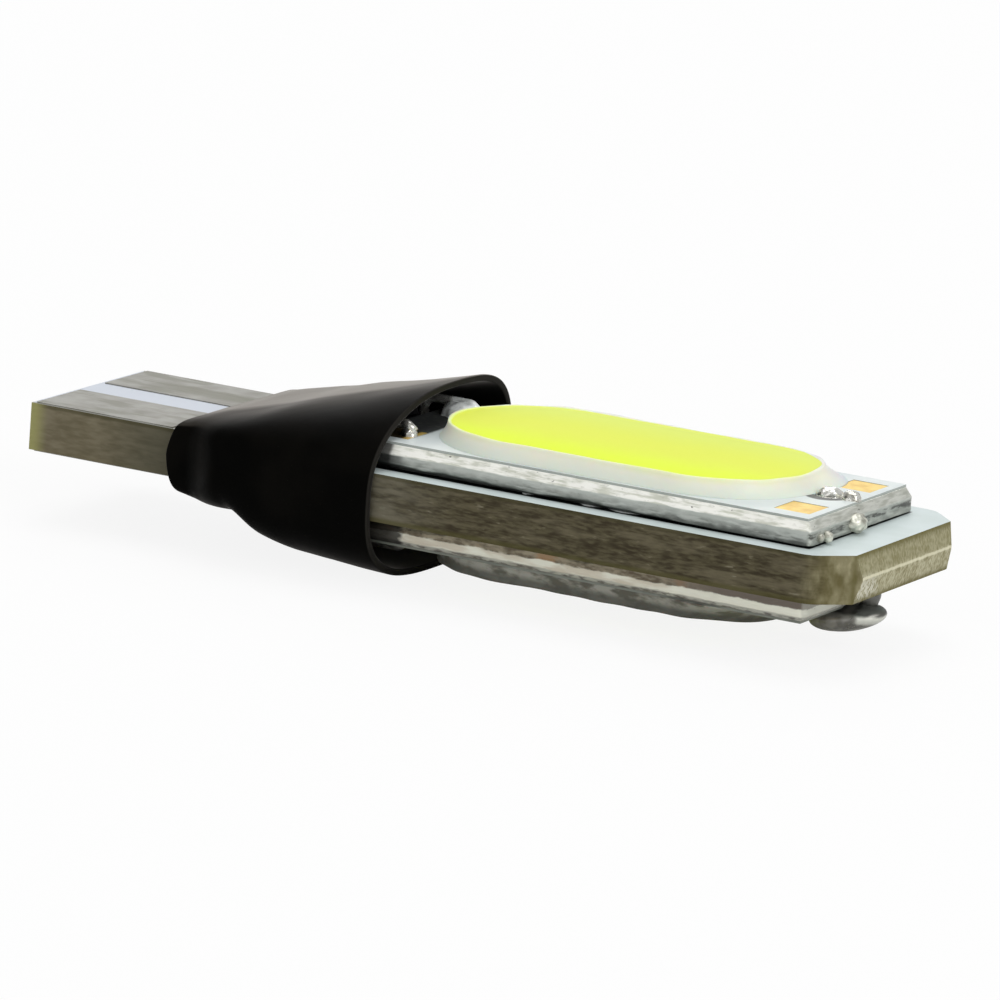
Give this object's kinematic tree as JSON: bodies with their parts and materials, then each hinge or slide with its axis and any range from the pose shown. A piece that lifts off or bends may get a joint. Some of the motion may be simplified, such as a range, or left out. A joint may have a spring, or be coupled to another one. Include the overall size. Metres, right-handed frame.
{
  "type": "wedge base led bulb",
  "caption": "Flat plug-in LED bulb: bare board tail with contact pads, black shrunk sleeve over the driver, and a glowing strip on an aluminium plate on each face.",
  "frame": {"origin": "centre of the end face of the bare board tail, the end that goes into the lamp holder", "axes": "+X along the bulb from the tail to the lit tip, +Y across the board, +Z out of the board's top face"},
  "size_m": [0.0386, 0.0126, 0.0078],
  "materials": {
    "laminate": "olive-brown glass-fibre edge, pale mask on both faces",
    "tinned_copper": "dull hot-tinned, grey",
    "plate_aluminium": "scored and snapped edges, slightly oxidised",
    "white_mask": "pale blue-white solder mask",
    "gold_plate": "matt gold plating",
    "dam_silicone": "white translucent silicone",
    "phosphor_gel": "yellow-green phosphor in clear silicone, smooth",
    "chip": "bare LED chips",
    "thermal_glue": "white heat-conducting adhesive",
    "solder": "bright frozen solder with dull patches",
    "epoxy_black": "black moulding compound",
    "ceramic_part": "fired ceramic with plated ends",
    "ferrite": "dark grey sintered ferrite",
    "enamelled_wire": "enamelled copper winding",
    "shrunk_plastic": "black heat-shrunk plastic, soft sheen"
  },
  "bodies": {
    "root": {"core_board": "laminate", "contact_pad_top_near": "tinned_copper", "contact_pad_top_far": "tinned_copper", "contact_pad_bottom_near": "tinned_copper", "contact_pad_bottom_far": "tinned_copper", "led_plate_top": "plate_aluminium", "led_plate_bottom": "plate_aluminium", "circuit_layer_top": "white_mask", "circuit_layer_bottom": "white_mask", "gold_pads_top": "gold_plate", "gold_pads_bottom": "gold_plate", "dam_top": "dam_silicone", "dam_bottom": "dam_silicone", "phosphor_top": "phosphor_gel", "phosphor_bottom": "phosphor_gel", "led_chips_top": "chip", "led_chips_bottom": "chip", "plate_adhesive_top": "thermal_glue", "plate_adhesive_bottom": "thermal_glue", "tip_solder_top": "solder", "tip_solder_bottom": "solder", "mouth_solder_top": "solder", "mouth_solder_bottom": "solder", "mouth_leads_top": "solder", "mouth_leads_bottom": "solder", "rectifier_diodes": "epoxy_black", "load_resistors": "ceramic_part", "driver_chip": "epoxy_black", "sense_resistors": "ceramic_part", "inductor_core": "ferrite", "inductor_winding": "enamelled_wire", "ceramic_capacitor": "ceramic_part", "freewheel_diode": "epoxy_black", "heat_shrink_sleeve": "shrunk_plastic"}
  },
  "joints": []
}
